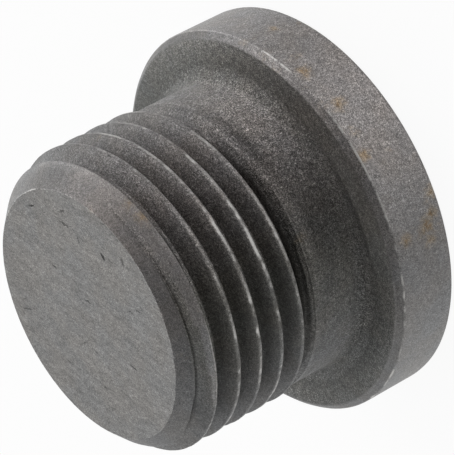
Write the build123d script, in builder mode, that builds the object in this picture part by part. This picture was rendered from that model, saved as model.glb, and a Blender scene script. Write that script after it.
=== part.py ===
"""Hexagon socket screw plug with a collar and an M18 x 1.5 thread, turned from one bar.

The plug stands on the outer face of its collar. The origin is the centre of that face,
+Z runs through the collar and the neck to the end of the thread. Sizes are millimetres.
"""
import os
from math import ceil, cos, pi, radians, tan

from build123d import *

# Collar
collar_diameter = 23.0
collar_thickness = 4.0
rim_chamfer = 0.35          # on the sealing side of the rim
outer_edge_break = 0.25     # on the socket side of the rim

# Stud: plain neck, run-out groove and threaded length
stud_length = 12.3          # from the sealing face to the end of the thread
neck_diameter = 17.3
neck_length = 3.45
neck_fillet = 0.8           # where the neck meets the sealing face
groove_diameter = 16.5      # floor of the run-out groove
groove_width = 1.05         # at the crests of the thread
groove_flank_angle = 30.0   # slope on the thread side, from a flat cut across the axis
end_chamfer = 1.5           # 45 degrees, leaves the flat end face

# Right-hand thread
pitch = 1.5
crest_diameter = 17.8
crest_flat = 0.30
root_flat = 0.07
flank_angle = 30.0          # half of the 60 degree thread form
thread_start_angle = 74.0   # where the middle of the thread groove meets the end face

# Hexagon socket in the collar
socket_across_flats = 8.0
socket_depth = 7.5
socket_mouth_margin = 0.35  # how far the chamfered mouth reaches past the corners of the hexagon
socket_mouth_angle = 60.0   # half angle of the mouth's cone
drill_undersize = 0.1       # the drilled hole is this much narrower than the hexagon's flats
drill_point_angle = 59.0    # half angle of the drill's point

# Levels and radii worked out from the sizes above
plug_length = collar_thickness + stud_length
groove_bottom = collar_thickness + neck_length
groove_top = groove_bottom + groove_width
collar_radius = collar_diameter / 2
neck_radius = neck_diameter / 2
groove_radius = groove_diameter / 2
groove_slope = tan(radians(groove_flank_angle))
crest_radius = crest_diameter / 2
root_radius = crest_radius - (pitch - crest_flat - root_flat) / 2 / tan(radians(flank_angle))
mouth_radius = socket_across_flats / 2 / cos(pi / 6) + socket_mouth_margin
drill_radius = (socket_across_flats - drill_undersize) / 2

# Bar that is threaded, then turned to length: it reaches past the thread cut at both ends
cutter_clearance = 0.06
bar_overhang = 1.0
cutter_depth = crest_radius + cutter_clearance - root_radius
cutter_half_width = root_flat / 2 + cutter_depth * tan(radians(flank_angle))
cutter_turns = ceil((plug_length - groove_bottom) / pitch) + 2
cutter_length = cutter_turns * pitch
cutter_bottom = plug_length + pitch * (1 - thread_start_angle / 360) - cutter_length
bar_bottom = cutter_bottom - bar_overhang
bar_top = cutter_bottom + cutter_length + bar_overhang
tool_radius = crest_radius + bar_overhang

with BuildPart() as plug_body:
    # Bar at the crest diameter
    with BuildSketch(Plane.XY.offset(bar_bottom)):
        Circle(crest_radius)
    extrude(amount=bar_top - bar_bottom)

    # Thread: a V swept along the helix
    with BuildLine(Plane.XY.offset(cutter_bottom)) as thread_path:
        Helix(pitch=pitch, height=cutter_length, radius=root_radius)
    with BuildSketch(Plane(origin=thread_path.line @ 0, x_dir=(1, 0, 0), z_dir=thread_path.line % 0)):
        with BuildLine():
            Polyline(
                (0, -root_flat / 2),
                (cutter_depth, -cutter_half_width),
                (cutter_depth, cutter_half_width),
                (0, root_flat / 2),
                close=True,
            )
        make_face()
    sweep(path=thread_path.line, is_frenet=True, mode=Mode.SUBTRACT)

    # Turned to length: flat end face and its chamfer
    with BuildSketch(Plane.XZ):
        with BuildLine():
            Polyline(
                (0, plug_length),
                (crest_radius - end_chamfer, plug_length),
                (tool_radius, plug_length - end_chamfer - bar_overhang),
                (tool_radius, bar_top + bar_overhang),
                (0, bar_top + bar_overhang),
                close=True,
            )
        make_face()
    revolve(axis=Axis.Z, mode=Mode.SUBTRACT)

    # Parted off at the neck
    split(bisect_by=Plane.XY.offset(groove_bottom), keep=Keep.TOP)

    # Run-out groove: not as deep as the thread, whose groove still shows in its floor
    with BuildSketch(Plane.XZ):
        with BuildLine():
            Polyline(
                (groove_radius, groove_bottom - groove_width),
                (tool_radius, groove_bottom - groove_width),
                (tool_radius, groove_top + bar_overhang * groove_slope),
                (groove_radius, groove_top - (crest_radius - groove_radius) * groove_slope),
                close=True,
            )
        make_face()
    revolve(axis=Axis.Z, mode=Mode.SUBTRACT)

    # Neck and collar, with a fillet between the neck and the sealing face
    with BuildSketch(Plane.XZ) as head_section:
        with BuildLine():
            Polyline(
                (0, 0),
                (collar_radius - outer_edge_break, 0),
                (collar_radius, outer_edge_break),
                (collar_radius, collar_thickness - rim_chamfer),
                (collar_radius - rim_chamfer, collar_thickness),
                (neck_radius, collar_thickness),
                (neck_radius, groove_bottom),
                (0, groove_bottom),
                close=True,
            )
        make_face()
        neck_corner = head_section.vertices().sort_by_distance((neck_radius, collar_thickness))[0]
        fillet(neck_corner, neck_fillet)
    revolve(axis=Axis.Z)

    # Hexagon socket
    with BuildSketch():
        RegularPolygon(radius=socket_across_flats / 2, side_count=6, major_radius=False)
    extrude(amount=socket_depth, mode=Mode.SUBTRACT)

    # Chamfered mouth of the socket and the point of the drilled hole at its bottom
    with BuildSketch(Plane.XZ):
        with BuildLine():
            Polyline(
                (0, 0),
                (mouth_radius, 0),
                (0, mouth_radius / tan(radians(socket_mouth_angle))),
                close=True,
            )
        make_face()
        with BuildLine():
            Polyline(
                (0, socket_depth),
                (drill_radius, socket_depth),
                (0, socket_depth + drill_radius / tan(radians(drill_point_angle))),
                close=True,
            )
        make_face()
    revolve(axis=Axis.Z, mode=Mode.SUBTRACT)

plug_body.part.label = "plug_body"

os.makedirs("parts", exist_ok=True)
export_step(plug_body.part, "parts/plug_body.step")
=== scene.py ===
"""Looks for the hexagon socket screw plug: a worn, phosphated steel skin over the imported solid, and
its studio.

Lengths are in metres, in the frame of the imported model: the plug stands on the outer face of its
collar, +Z runs to the end of its thread, and angles turn from +X. The tables of marks are in
millimetres and degrees.
"""
import math

import bpy
import numpy as np
from mathutils import Matrix, Vector, noise


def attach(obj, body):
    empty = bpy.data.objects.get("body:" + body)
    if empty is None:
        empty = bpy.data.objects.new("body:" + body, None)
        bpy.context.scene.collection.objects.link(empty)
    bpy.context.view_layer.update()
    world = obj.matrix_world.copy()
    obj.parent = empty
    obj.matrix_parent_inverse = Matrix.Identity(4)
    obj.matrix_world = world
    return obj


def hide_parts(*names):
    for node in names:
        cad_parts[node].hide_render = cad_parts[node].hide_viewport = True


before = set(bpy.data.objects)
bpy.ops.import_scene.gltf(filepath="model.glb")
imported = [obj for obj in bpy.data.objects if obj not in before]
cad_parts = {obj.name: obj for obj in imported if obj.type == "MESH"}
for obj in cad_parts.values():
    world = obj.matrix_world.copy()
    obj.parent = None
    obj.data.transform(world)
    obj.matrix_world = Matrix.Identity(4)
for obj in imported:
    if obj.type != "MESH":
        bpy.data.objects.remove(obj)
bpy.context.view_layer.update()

bl_info = {
    "name": "Screw plug builder",
    "version": (1, 0, 0),
    "blender": (4, 5, 0),
    "location": "View3D > Sidebar > Screw plug",
    "description": "Builds a worn hexagon socket screw plug and a plain studio for it",
    "category": "Add Mesh",
}

NODE = "plug_body"
MM = 0.001
TAU = 2 * math.pi
FLOOR_GAP = 0.01 * MM       # keeps the floor off the face that the plug stands on
FLOOR_GLOW = 0.93           # how much of the floor that the camera sees is plain white
LIGHT_FOCUS, FILL_FOCUS = 3.0, 1.0      # powers that narrow the two bright sides
SENSOR_WIDTH = 36           # of the camera, in millimetres
CLIP_START = 1 * MM         # nearest that the camera sees
COLUMNS = 480               # of the mesh, a multiple of 6 so that the socket's corners get vertices
SHARP_ANGLE = 50            # in degrees, for edges that stay sharp

# Finishes of the plug, in the order of the mesh's material slots
END_FACE, THREAD, COLLAR, NECK, SOCKET = range(5)

# Rings of the mesh as shares of the stretch that they cross, with how brightly each is rubbed where two
# values are given
DRILL_RINGS = (0.02, 0.3, 0.65, 1)      # from the tip of the drill's cone to its rim
HEXAGON_RINGS = ((0.03, 0), (0.35, 0), (0.7, 0), (0.97, 0), (1, 0.6))
MOUTH_RINGS = ((0.12, 0.05), (0.5, 0), (0.88, 0.05), (1, 0.5))
OUTER_FACE_RINGS = ((0, 0.5), (0.02, 0.1), (0.3, 0), (0.6, 0), (0.85, 0), (0.98, 0.1), (1, 0.4))
SIDE_RINGS = ((0, 0.15), *((k / 13, 0) for k in range(1, 12)), (0.93, 0.05))
SEALING_FACE_RINGS = (0.7, 0.4, 0.12)
END_FACE_RINGS = ((0.994, 0.35), (0.975, 0.35), *((k, 0) for k in (0.9, 0.78, 0.64, 0.48, 0.32, 0.16, 0.04)))
# Broken outer edge: shares of its size, inwards and upwards, and how brightly it is rubbed
EDGE_BREAK_RINGS = ((0.5, 0.32, 1), (0.08, 0.8, 0.8))
SIDE_START = 1.3            # of the plain side of the collar, in sizes of the broken edge
# Chamfer of the rim: share of its height, inset, and how brightly it is rubbed
RIM_RINGS = (
    (-0.24, 0, 0.1), (-0.1, 0, 1), (0.05, 0.012, 1), (0.2, 0, 0.3), (0.45, 0, 0.12), (0.8, 0, 0.05),
    (1, -0.015, 0.12),
)
# Fillet of the neck: angle round its centre, and share of the depth of the tool's line
FILLET_RINGS = (
    (270, 0), (259, 0), (248, 0), (240, 0), (235.5, 0), (234, 0.6), (233, 1), (232, 0.6), (230.5, 0),
    (222, 0), (212, 0), (202, 0), (191, 0), (180, 0),
)
# Neck: share of its height, and share of the depth of a turned line
NECK_RINGS = (
    (0.15, 0), (0.32, 0), (0.48, 0), (0.6, 0), (0.68, 0.5), (0.71, 0), (0.78, 0.6), (0.81, 0), (0.87, 0.5),
    (0.9, 0), (0.96, 0),
)
# Slope from the neck into the run-out groove: share of its width, how brightly it is rubbed, and the place
# whose painted light and shade it takes
SLOPE_RINGS = (
    (0, 0.2, "edge line"), (0.06, 0.12, "edge line"), (0.14, 0.04, "wall"), (0.3, 0, "wall foot"),
    (0.36, 0, "groove corner"), (0.52, 0, "groove corner"), (0.66, 0, "groove corner"), (0.8, 0, "groove"),
)

# Dents in the crest of the thread: angle, level, half width along the crest, depth
CREST_DENTS = (
    (-79, 12.04, 0.3, 0.06), (-84, 12.04, 0.14, 0.04), (-92, 11.95, 0.45, 0.055),
    (-96, 11.92, 0.35, 0.055), (-99, 11.89, 0.25, 0.045), (-104, 11.88, 0.16, 0.03),
    (-58, 11.95, 0.3, 0.05), (-55.5, 11.95, 0.15, 0.045), (-83, 13.37, 0.28, 0.06),
    (-86, 13.37, 0.15, 0.05), (-77, 13.45, 0.18, 0.04), (-112, 13.3, 0.22, 0.03),
    (-124, 13.25, 0.25, 0.04), (-121, 11.9, 0.22, 0.03), (-62, 9.0, 0.12, 0.04),
    (-136, 14.6, 0.18, 0.05), (-100, 14.7, 0.3, 0.04), (-96, 10.45, 0.2, 0.035),
)
# Where the edge of the rim is rubbed bright: angle, half width, strength
RIM_RUBS = (
    (-42.3, 0.9, 0.5), (-46.4, 1.8, 1.1), (-49.5, 0.9, 0.7), (-53.9, 2.6, 0.9), (-59.8, 0.9, 0.4),
    (-68.5, 0.9, 0.4), (-72.4, 0.9, 0.5), (-75.1, 1.0, 0.5), (-78.0, 1.3, 1.0), (-84.5, 2.8, 0.9),
    (-89.9, 1.1, 0.5), (-92.6, 1.6, 0.6), (-98.5, 1.2, 0.5), (-101.3, 1.2, 0.4), (-104.2, 1.2, 0.5),
    (-113.1, 1.5, 0.5), (-117.6, 0.9, 0.4), (-122.6, 1.8, 0.6), (-127.8, 1.0, 0.6), (-132.1, 1.0, 0.4),
    (-147.4, 1.2, 0.3), (-157.5, 2.0, 0.8), (-163.0, 2.0, 0.6), (-172.4, 1.5, 0.8), (159.4, 4.0, 0.8),
    (19.8, 4.0, 0.7), (-122, 45, 0.28),
)
# Waves of the rim's edge: angle, half width, outward reach
RIM_WAVES = (
    (-150, 11, 0.05), (-115, 10, -0.045), (-88, 9, 0.03), (-62, 6, -0.03), (-53, 4, 0.04), (-46, 4, 0.05),
)
RUB_DEPTH = 0.02 * MM       # of the strongest rub of the rim
MOST_BULGE = 0.004 * MM     # reach of a wave over the plain rim
# Side of the fillet that has the tool's line: angle, half width, strength
TOOL_MARK_SIDE = ((-128, 38, 1.0),)
CHAMFER_REACH = 1.35        # of the rim's worn chamfer over the sealing face, in chamfer sizes
LINE_DEPTH = 0.015 * MM     # of the turned lines under the upper edge of the neck
NECK_EDGE, NECK_EDGE_RUB = 0.95, 0.04   # share of the neck's height where its edge starts, and its rubbing
EDGE_RISE = 0.05 * MM       # of the neck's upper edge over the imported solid's
MOUTH_INSET, MOUTH_RISE = 0.03 * MM, 0.02 * MM      # of the end of the mouth's cone, for a rounded edge
# Where the edge of the end face is rubbed: angle, half width, strength
END_EDGE_RUBS = ((-8, 4, 0.2), (4, 4, 0.1), (-172, 6, 0.1))
# Way that the end face was drawn
DRAWN_ANGLE = 49

# Painted light and shade on the coat round the axis, by place: its level, and humps of (angle, half width,
# change). The crest's humps are painted highlights; only the end face band is a duller band of the face
# itself.
PAINTED_LIGHT_AND_TONE = {
    "side": (1.45, ((-75, 14, 0.13), (-115, 19, -0.36), (-47, 14, -0.22), (-8, 12, 0.14), (-178, 16, 0.12))),
    "rim": (1.07, ((-88, 14, -0.2), (-50, 9, 0.25), (-8, 22, -0.38), (-150, 20, 0.1))),
    "face by rim": (0.63, ((-112, 22, 0.36), (-55, 20, -0.16), (-158, 14, 0.12), (-8, 20, 0.26))),
    "face by neck": (0.485, ((-102, 27, 0.9), (5, 24, 0.1))),
    "fillet foot": (0.62, ((-92, 25, 0.12), (-122, 18, 0.14))),
    "neck foot": (1.38, ((-103, 20, 0.22), (-20, 25, -0.12))),
    "neck": (1.14, ((-99, 28, -0.69), (-42, 20, 0.33), (-10, 12, 0.12))),
    "neck band": (0.96, ((-60, 22, -0.52), (-98, 19, 0.68), (-180, 15, -0.2), (-140, 14, -0.1))),
    "neck edge": (0.95, ((-92, 16, 0.27), (-10, 20, 0.2), (-175, 12, 0.3), (-130, 14, -0.08),
                         (-50, 20, -0.42))),
    "edge line": (1.08, ((-74, 18, 0.26), (-48, 14, 0.05), (-112, 12, -0.09), (-150, 20, 0.28))),
    "wall": (1.08, ((-128, 20, 0.5), (-88, 11, -0.3), (-60, 13, 0.3), (-24, 18, -0.12), (-165, 14, 0.3))),
    "wall foot": (1.0, ((-132, 20, -0.42),)),
    "groove corner": (1.0, ((-130, 32, -0.34), (-106, 16, -0.26), (-64, 14, 0.28))),
    "groove": (0.8, ((-110, 22, -0.25), (-70, 18, -0.35), (-85, 22, -0.09))),
    "thread": (0.87, ((-152, 9, -0.13), (-115, 35, -0.13), (-68, 18, 0.11), (-20, 20, -0.13))),
    "root": (1.34, ((-124, 20, 0.35), (-72, 12, -0.3))),
    "crest": (0.95, ((-22, 20, 0.6), (-84, 20, 0.52), (-148, 18, 0.36), (-192, 14, -0.22), (-54, 8, -0.1),
                     (8, 10, -0.1))),
    "end chamfer": (1.03, ((-92, 10, -0.08), (-50, 12, 0.07), (-18, 18, -0.3))),
    "end face band": (0.0, ((35, 30, -0.05), (85, 32, -0.05), (135, 35, -0.04), (-150, 25, -0.03))),
}
# Painted shade on the edge and wall between the neck and the run-out groove
GROOVE_EDGE_PAINTED_SHADE = 0.76     # of the edge and wall between the neck and the run-out groove
# Painted shade inside the socket
SOCKET_PAINTED_SHADE = 0.6
# Grain of the sealing face round the axis: its level, and humps of (angle, half width, change)
FACE_GRAIN, FACE_GRAIN_HUMPS = 1.95, ((-105, 30, -0.6), (25, 30, -0.7), (-175, 22, -0.5))
# Tint of the coat round the axis: humps of (angle, half width, strength)
WARM_SIDES = ((-68, 48, 1.0), (112, 50, 0.5))
OILY_SIDES = ((-115, 26, 0.85), (80, 30, 0.4))
# Tints that the coat is multiplied by: in its two kinds of patch, and where rust stains it
COOL_PATCH, WARM_PATCH = (0.985, 1.0, 1.015), (1.012, 1.0, 0.985)
STAIN_TINT = (1.2, 1.0, 0.72)
GRAIN_SIZE, CLUMPS = 0.05, 0.3      # size of the crystals in millimetres, and how much they clump
PATCH_SIZE = 2.4            # in millimetres
# Roughness of the coat, and its changes with the tone of a patch, in rust and where it is rubbed
ROUGHNESS, PATCH_ROUGHNESS, RUST_ROUGHNESS, RUB_POLISH = 0.6, 0.25, 0.4, 0.1
RUB_COVER = 0.85            # of bare steel's colour over a rubbed edge
RUST_DULLING = 0.9          # how much less metallic thick rust is
LINE_HEIGHT, PIT_DEPTH = 6, 2.5     # of the turned lines, for their contrast, and of pits, against the grain

# Pits of the end face: x, y, direction, length, width, darkness
END_PITS = (
    (4.87, -2.45, 44, 0.82, 0.29, 0.7), (2.33, -4.52, 6, 0.51, 0.29, 0.95),
    (1.82, 5.66, 72, 1.43, 0.14, 0.6), (1.56, -6.11, 149, 0.56, 0.36, 0.6),
    (6.63, -0.16, 79, 0.54, 0.2, 1.0), (5.52, -2.93, 82, 0.49, 0.33, 0.7),
    (-3.65, -1.85, 42, 0.52, 0.24, 0.8), (0.66, -0.75, 43, 0.78, 0.15, 0.8),
    (3.17, 0.72, 49, 0.33, 0.19, 0.85), (3.87, -6.13, 47, 0.57, 0.15, 0.5),
    (-1.76, 4.32, 40, 0.59, 0.21, 0.5), (1.97, -5.01, 31, 0.44, 0.2, 0.5),
    (3.09, -6.57, 27, 0.58, 0.12, 0.6), (4.35, -3.03, 46, 0.37, 0.2, 0.5),
    (2.41, 5.52, 93, 0.48, 0.18, 0.5), (-3.95, 1.99, 28, 0.33, 0.2, 0.6),
    (3.75, -3.0, 150, 0.39, 0.13, 0.65), (-0.94, -4.37, 60, 0.39, 0.12, 0.85),
    (-1.05, -5.13, 52, 0.36, 0.16, 0.65), (2.69, -6.72, 29, 0.29, 0.14, 0.6),
    (-2.01, 1.03, 26, 0.28, 0.2, 0.5), (2.04, -6.97, 20, 0.47, 0.11, 0.5),
    (5.93, -1.13, 62, 0.31, 0.16, 0.55), (-1.3, 1.72, 100, 0.24, 0.17, 0.6),
    (3.52, -4.31, 136, 0.41, 0.12, 0.5), (-5.25, 2.58, 77, 0.44, 0.13, 0.4),
)
# Rust on the side of the collar: angle, level, radius of the spot, strength
SIDE_RUST = (
    (-57.9, 2.9, 0.26, 0.95), (-57.2, 3.07, 0.2, 0.8), (-59.3, 3.12, 0.22, 0.6),
    (-71.3, 2.76, 0.3, 0.85), (-86.8, 3.29, 0.27, 0.8), (-111.5, 1.29, 0.34, 0.95),
    (-112.6, 2.85, 0.26, 0.85), (-103.7, 0.32, 0.27, 0.8), (-109.2, 0.81, 0.27, 0.8),
    (-112.4, 1.62, 0.2, 0.7), (-79.7, 3.03, 0.25, 0.55), (-38.3, 1.68, 0.2, 0.8),
    (-116.0, 1.27, 0.23, 0.75), (-51.8, 2.51, 0.2, 0.55), (-40.9, 0.41, 0.18, 0.45),
    (-39.2, 3.22, 0.18, 0.45), (-88.7, 1.79, 0.17, 0.4), (-93.4, 0.45, 0.2, 0.35),
    (-91.4, 2.42, 0.18, 0.35), (-69.9, 3.51, 0.2, 0.4), (-52.9, 3.12, 0.2, 0.4),
    (-111.4, 2.01, 0.15, 0.35), (-70.1, 3.15, 0.35, 0.4), (-107.1, 0.69, 0.45, 0.4),
    (-113.5, 1.3, 0.5, 0.45), (60.0, 2.1, 0.45, 0.7), (118.0, 1.0, 0.5, 0.6), (163.0, 2.8, 0.35, 0.7),
)
# Other rust: angle, radius from the axis, level, radius of the spot, strength
OTHER_RUST = (
    (-37.0, 11.39, 3.76, 0.22, 0.55), (-68.6, 11.37, 3.78, 0.18, 0.45), (-51.6, 11.25, 3.9, 0.2, 0.4),
    (-62.0, 11.43, 3.72, 0.25, 0.35), (-47.0, 11.3, 3.85, 0.4, 0.35), (-68.5, 8.65, 15.05, 0.34, 0.65),
    (-61.4, 8.61, 15.09, 0.29, 0.45), (-123.0, 7.77, 15.93, 0.2, 0.4), (-22.0, 8.77, 12.37, 0.18, 0.4),
    (-49.5, 7.41, 16.27, 0.18, 0.4), (-106.7, 8.83, 14.86, 0.18, 0.3), (-101.0, 8.6, 7.33, 0.3, 0.5),
    (20.0, 9.5, 0.0, 0.6, 0.6), (205.0, 8.0, 0.0, 0.7, 0.5), (130.0, 5.2, 0.1, 0.5, 0.7),
)
MOST_STAIN = 0.8            # strength of the stain round a strong spot


# ---------------------------------------------------------------- settings

def length(name, description, default):
    """A length property with its default in millimetres"""
    return bpy.props.FloatProperty(name=name, description=description, default=default * MM,
                                   unit="LENGTH", precision=5)


def number(name, description, default):
    """A plain number property"""
    return bpy.props.FloatProperty(name=name, description=description, default=default)


def count(name, description, default):
    """A whole number property"""
    return bpy.props.IntProperty(name=name, description=description, default=default, min=0)


def color(name, description, default):
    """A colour property"""
    return bpy.props.FloatVectorProperty(name=name, description=description, default=default,
                                         subtype="COLOR", min=0.0, max=1.0)


def angle(name, description, degrees):
    """An angle property with its default in degrees"""
    return bpy.props.FloatProperty(name=name, description=description, default=math.radians(degrees),
                                   subtype="ANGLE")


class PlugSizes(bpy.types.PropertyGroup):
    """Sizes of the plug"""

    collar_diameter: length("Collar diameter", "Across the rim", 23.0)
    collar_thickness: length("Collar thickness", "From the outer face to the sealing face", 4.0)
    rim_chamfer: length("Rim chamfer", "On the sealing side of the rim", 0.35)
    edge_break: length("Outer edge break", "On the socket side of the rim", 0.25)
    neck_diameter: length("Neck diameter", "Plain part under the thread", 17.3)
    neck_length: length("Neck length", "From the sealing face to the run-out groove", 3.45)
    neck_fillet: length("Neck fillet", "Between the neck and the sealing face", 0.8)
    groove_diameter: length("Run-out groove diameter", "At its floor", 16.5)
    groove_width: length("Run-out groove width", "At the crests of the thread", 1.05)
    groove_slope: angle("Run-out groove slope", "Thread side, from a cut straight across", 30)
    stud_length: length("Stud length", "From the sealing face to the end of the thread", 12.3)
    end_chamfer: length("End chamfer", "At 45 degrees", 1.5)
    pitch: length("Pitch", "Of the thread", 1.5)
    crest_diameter: length("Crest diameter", "Of the thread", 17.8)
    crest_flat: length("Crest flat", "Width of the flat on the crest", 0.3)
    root_flat: length("Root flat", "Width of the flat in the root", 0.07)
    flank_angle: angle("Flank angle", "Of one side of the thread", 30)
    thread_start_angle: angle("Thread start", "Where the thread groove meets the end face", 74)
    socket_across_flats: length("Socket across flats", "Of the hexagon", 8.0)
    socket_depth: length("Socket depth", "To the bottom of the flats", 7.5)
    socket_mouth_margin: length("Socket mouth margin", "Reach of the mouth's cone past the corners", 0.35)
    socket_mouth_angle: angle("Socket mouth angle", "Between the mouth's cone and the axis", 60)
    drill_diameter: length("Drill diameter", "Of the hole under the hexagon", 7.9)
    drill_angle: angle("Drill point angle", "Between the point's cone and the axis", 59)


class PlugWear(bpy.types.PropertyGroup):
    """Wear of the plug's edges"""

    crest_wear: length("Crest wear", "Most that the crest has lost along a rubbed stretch", 0.018)
    crest_wander: length("Crest wander", "How far the crest strays along the axis", 0.02)
    rim_wear: length("Rim wear", "Unevenness of the rim's edge", 0.022)
    face_waves: length("End face waves", "Unevenness of the end face", 0.015)
    tool_mark: length("Tool mark", "Depth of the line that the tool left in the neck fillet", 0.018)
    small_dents: count("Small dents", "Round the whole thread", 90)
    seed: count("Seed", "Of the small dents", 4)


class PlugFinish(bpy.types.PropertyGroup):
    """Colours of the plug"""

    cool: color("Plain coat", "Phosphate", (0.2, 0.1995, 0.1985))
    warm: color("Warm coat", "Phosphate with a trace of rust", (0.2135, 0.199, 0.193))
    oily: color("Oily coat", "Phosphate with old oil", (0.203, 0.2045, 0.1915))
    bright: color("Rubbed edge", "Bare steel", (0.64, 0.63, 0.61))
    rust: color("Rust", "Spots and stains", (0.4, 0.275, 0.16))


class StudioSettings(bpy.types.PropertyGroup):
    """Camera, light and floor"""

    camera_aim_out: length("Camera aim, outwards", "From the axis, along +X", 0.6675)
    camera_aim_up: length("Camera aim, upwards", "From the outer face of the collar", 5.92)
    camera_distance: length("Camera distance", "From its aim point", 196.69)
    camera_tilt: angle("Camera tilt", "Between the thread axis and the line to the camera", 58.88)
    camera_roll: angle("Camera roll", "Turn of the picture, anticlockwise", 117.72)
    lens: number("Focal length", "For a sensor 36 mm wide, in millimetres", 280.93)
    floor_size: length("Floor size", "Side of the floor", 3000)
    floor_color: color("Floor colour", "Pale", (0.86, 0.86, 0.86))
    light_angle: angle("Light angle", "Where the bright side of the surroundings is", 26)
    light_height: angle("Light height", "Of the bright side over the floor", 12)
    light_strength: number("Light strength", "Of the bright side", 2.3)
    fill_angle: angle("Fill angle", "Where the second bright side is", 102)
    fill_height: angle("Fill height", "Of the second bright side over the floor", 24)
    fill_strength: number("Fill strength", "Of the second bright side", 0.9)
    ambient: number("Ambient", "Light from everywhere", 0.2)


# ---------------------------------------------------------------- mesh of the plug

def smooth_min(a, b, blend):
    """The smaller of two lengths, rounded where they are closer than blend"""
    overlap = np.clip(0.5 + 0.5 * (b - a) / blend, 0, 1)
    return b + (a - b) * overlap - blend * overlap * (1 - overlap)


def smooth_step(value, none, full):
    """0 at none, 1 at full, and a smooth slope between"""
    t = np.clip((value - none) / (full - none), 0, 1)
    return t * t * (3 - 2 * t)


def mixed(a, b, share):
    """From a at 0 to b at 1"""
    return a + (b - a) * share


def uneven(points, size, seed):
    """Smooth noise between -1 and 1 at each point, the same on every run"""
    shift = Vector((seed * 7.3, seed * 3.1, 0))
    return np.array([noise.noise(Vector(point) / size + shift) for point in points])


def circle(angles, radius, level=0.0):
    """Points round the axis"""
    x, y = np.cos(angles) * radius, np.sin(angles) * radius
    return np.stack([x, y, np.broadcast_to(level, x.shape)], 1)


def spans(angles, places):
    """Sum of smooth humps at (degrees, half width in degrees, height)"""
    def turned(at):
        return (np.degrees(angles) - at + 180) % 360 - 180

    return sum(height * np.exp(-(turned(at) / width) ** 2) for at, width, height in places)


def tone(place, angles):
    """Factor on the coat's colour at each angle: painted light and shade, except the end face band's own
    duller tone
    """
    level, humps = PAINTED_LIGHT_AND_TONE[place]
    return level + spans(angles, humps)


class PlugForm:
    """Radii and levels of the plug, worked out from its sizes"""

    SLOPE_SHARE = 0.56              # of the run-out groove's width, for the slope on its neck side
    CREST_ROUND = 0.09 * MM         # between flank and crest
    MOST_CUT = 0.6 * MM             # from the flank of the first crest
    FIRST_CREST = (-0.5 * MM, -0.05 * MM, 0.55 * MM, 0.95 * MM)     # rise and fall, from the chamfer's level

    def __init__(self, sizes):
        self.s = sizes
        self.length = sizes.collar_thickness + sizes.stud_length
        self.wall_level = sizes.collar_thickness + sizes.neck_length
        self.groove_top = self.wall_level + sizes.groove_width
        self.slope_top = self.wall_level + self.SLOPE_SHARE * sizes.groove_width
        self.collar_radius = sizes.collar_diameter / 2
        self.neck_radius = sizes.neck_diameter / 2
        self.fillet_radius = self.neck_radius + sizes.neck_fillet
        self.groove_radius = sizes.groove_diameter / 2
        self.crest_radius = sizes.crest_diameter / 2
        self.end_radius = self.crest_radius - sizes.end_chamfer
        self.chamfer_level = self.length - sizes.end_chamfer
        self.flank_slope = 1 / math.tan(sizes.flank_angle)
        self.crest_edge = (sizes.pitch - sizes.crest_flat) / 2
        self.root_radius = self.crest_radius - (self.crest_edge - sizes.root_flat / 2) * self.flank_slope
        self.corner_radius = sizes.socket_across_flats / 2 / math.cos(math.pi / 6)
        self.mouth_radius = self.corner_radius + sizes.socket_mouth_margin
        self.first_groove = self.length - sizes.pitch * sizes.thread_start_angle / TAU

    def thread_radius(self, offset, cut=0.0):
        """Radius at an axial distance from the middle of the thread groove, where the flank is cut lower"""
        flank = self.root_radius + (np.abs(offset) - self.s.root_flat / 2) * self.flank_slope - cut
        rounded = smooth_min(flank, np.float64(self.crest_radius), self.CREST_ROUND)
        return np.maximum(rounded, self.root_radius + 0.25 * cut)

    def first_crest(self, middle):
        """How much of a crest with its middle at this level is the first one, at the end chamfer"""
        from_chamfer = middle - self.chamfer_level
        none, full, still_full, none_again = self.FIRST_CREST
        return smooth_step(from_chamfer, none, full) * smooth_step(from_chamfer, none_again, still_full)

    def first_crest_cut(self, middle):
        """Depth that the first crest's flank lacks, so that the crest is a ridge and not a flat"""
        missing = np.maximum(middle - self.chamfer_level, 0) + self.flank_slope * self.s.crest_flat / 2
        return self.first_crest(middle) * np.minimum(missing, self.MOST_CUT)

    def envelope(self, z):
        """Radius of the turned form that cuts the thread off: end chamfer and run-out groove"""
        chamfer = self.crest_radius - (z - self.chamfer_level)
        groove = self.crest_radius - (self.groove_top - z) / math.tan(self.s.groove_slope)
        return np.minimum(chamfer, np.maximum(groove, self.groove_radius))

    def hexagon_radius(self, angles):
        """Distance from the axis to the hexagon, with a corner at angle 0"""
        sector = np.mod(angles, math.pi / 3) - math.pi / 6
        return self.s.socket_across_flats / 2 / np.cos(sector)


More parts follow.
